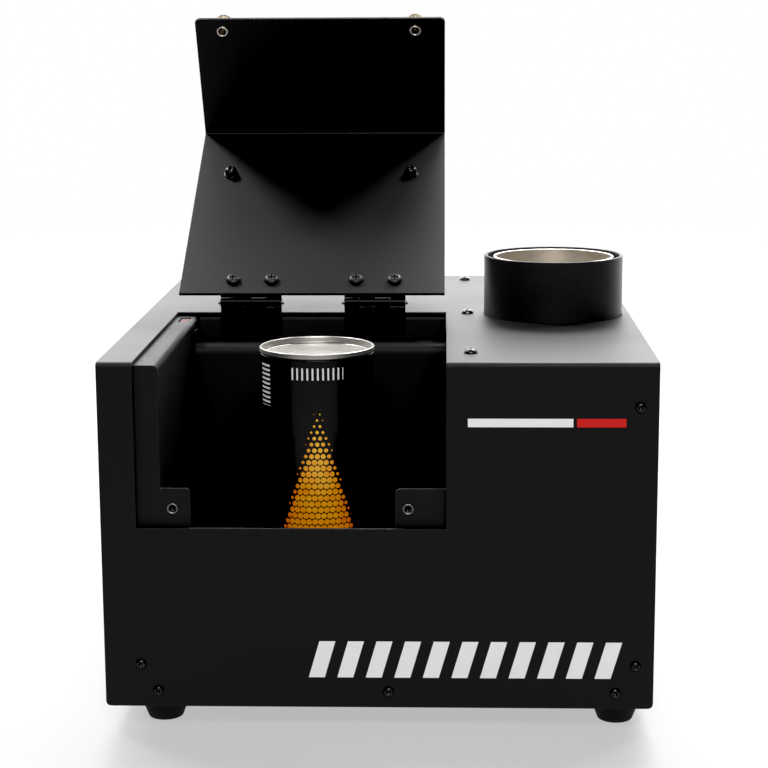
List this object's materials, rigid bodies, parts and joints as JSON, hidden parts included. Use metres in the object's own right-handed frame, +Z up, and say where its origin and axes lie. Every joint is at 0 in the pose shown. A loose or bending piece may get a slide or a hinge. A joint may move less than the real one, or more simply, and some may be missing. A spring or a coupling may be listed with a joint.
{
  "type": "stage flame machine",
  "caption": "Black sheet-metal flame machine on rubber feet: open hinged lid over a spray can bay, round chimney over a spark burner.",
  "frame": {"origin": "on the floor, under the middle of the machine's overall box at rest, with the lid open as pictured", "axes": "+X to the right seen from the front, +Y from the front face to the rear panel, +Z up"},
  "size_m": [0.3, 0.3618, 0.3885],
  "materials": {
    "black_paint": "fine satin black powder coat",
    "inner_paint": "smooth satin black paint",
    "tube_steel": "rolled stainless steel, slightly warm",
    "screw_black": "black oxide, oiled",
    "zinc_steel": "zinc plated",
    "brass": "turned brass",
    "copper": "drawn copper pipe",
    "nickel": "nickel plated",
    "can_print": "gloss black lacquer print with a bare tinplate base",
    "black_plastic": "moulded, fine texture",
    "red_plastic": "moulded, smooth",
    "circuit_board": "green solder mask",
    "ceramic": "glazed ceramic",
    "smoked_window": "dark red display window",
    "rubber": "matt moulded rubber"
  },
  "bodies": {
    "machine": {"casing_cover": "black_paint", "base_tray": "black_paint", "foot_front_left": "rubber", "foot_front_right": "rubber", "foot_rear_left": "rubber", "foot_rear_right": "rubber", "compartment_floor": "inner_paint", "liner_left": "inner_paint", "liner_rear": "inner_paint", "compartment_back": "inner_paint", "divider_wall": "inner_paint", "can_cradle": "black_plastic", "can_socket": "brass", "solenoid_valve": "zinc_steel", "fuel_inlet_pipe": "copper", "fuel_outlet_pipe": "copper", "burner_nozzle": "brass", "electrode_left": "ceramic", "electrode_right": "ceramic", "burner_bridge": "zinc_steel", "flame_tube": "tube_steel", "chimney_collar": "black_paint", "spark_transformer": "black_plastic", "power_supply": "zinc_steel", "rear_panel": "black_paint", "mains_inlet": "black_plastic", "control_socket_in": "nickel", "control_socket_out": "nickel", "display_window": "smoked_window", "control_board": "circuit_board", "interlock_switch": "black_plastic", "screw_front_left_side": "screw_black", "screw_front_left_bottom": "screw_black", "screw_front_middle_bottom": "screw_black", "screw_front_right_bottom": "screw_black", "screw_front_right_side": "screw_black", "screw_front_right_top": "screw_black", "screw_top_front": "screw_black", "screw_top_middle": "screw_black", "screw_top_back": "screw_black", "hinge_left_fixed_leaf": "screw_black", "hinge_left_pin": "zinc_steel", "hinge_right_fixed_leaf": "screw_black", "hinge_right_pin": "zinc_steel"},
    "opening_lid": {"lid": "black_paint", "lid_handle": "black_plastic", "hinge_left_lid_leaf": "screw_black", "hinge_right_lid_leaf": "screw_black", "thumb_ferrule_left": "nickel", "thumb_ferrule_right": "nickel"},
    "left_thumb_screw": {"thumb_screw_left": "brass"},
    "right_thumb_screw": {"thumb_screw_right": "brass"},
    "interlock": {"interlock_plunger": "red_plastic"},
    "can": {"spray_can": "can_print"},
    "valve_plunger": {"solenoid_plunger": "nickel"},
    "rocker": {"power_rocker": "red_plastic"},
    "button_1": {"menu_button_1": "red_plastic"},
    "button_2": {"menu_button_2": "red_plastic"},
    "button_3": {"menu_button_3": "red_plastic"},
    "button_4": {"menu_button_4": "red_plastic"}
  },
  "joints": [
    {"name": "lid_hinge", "type": "hinge", "parent": "machine", "child": "opening_lid", "pos_m": [-0.0465, 0.00042, 0.2114], "axis": [-1, 0, 0], "range_deg": [-149.2, 15.8]},
    {"name": "thumb_left_spin", "type": "hinge", "parent": "opening_lid", "child": "left_thumb_screw", "pos_m": [-0.1112, 0.11431, 0.38105], "axis": [0, 0.859, 0.512], "continuous": true},
    {"name": "thumb_right_spin", "type": "hinge", "parent": "opening_lid", "child": "right_thumb_screw", "pos_m": [0.0165, 0.11431, 0.38105], "axis": [0, 0.859, 0.512], "continuous": true},
    {"name": "interlock_press", "type": "slide", "parent": "machine", "child": "interlock", "axis": [0, 0, -1], "range_m": [0, 0.002], "stiffness_N_per_m": 200, "springref_m": -0.002},
    {"name": "can_lift", "type": "slide", "parent": "machine", "child": "can", "axis": [0, 0, 1], "range_m": [0, 0.17]},
    {"name": "solenoid_travel", "type": "slide", "parent": "machine", "child": "valve_plunger", "axis": [0, 0, 1], "range_m": [0, 0.0024], "stiffness_N_per_m": 300, "springref_m": -0.003},
    {"name": "rocker_tilt", "type": "hinge", "parent": "machine", "child": "rocker", "pos_m": [0.079, 0.17572, 0.061], "axis": [1, 0, 0], "range_deg": [-16, 0]},
    {"name": "menu_button_1_press", "type": "slide", "parent": "machine", "child": "button_1", "axis": [0, -1, 0], "range_m": [0, 0.001], "stiffness_N_per_m": 400, "springref_m": -0.001},
    {"name": "menu_button_2_press", "type": "slide", "parent": "machine", "child": "button_2", "axis": [0, -1, 0], "range_m": [0, 0.001], "stiffness_N_per_m": 400, "springref_m": -0.001},
    {"name": "menu_button_3_press", "type": "slide", "parent": "machine", "child": "button_3", "axis": [0, -1, 0], "range_m": [0, 0.001], "stiffness_N_per_m": 400, "springref_m": -0.001},
    {"name": "menu_button_4_press", "type": "slide", "parent": "machine", "child": "button_4", "axis": [0, -1, 0], "range_m": [0, 0.001], "stiffness_N_per_m": 400, "springref_m": -0.001}
  ]
}
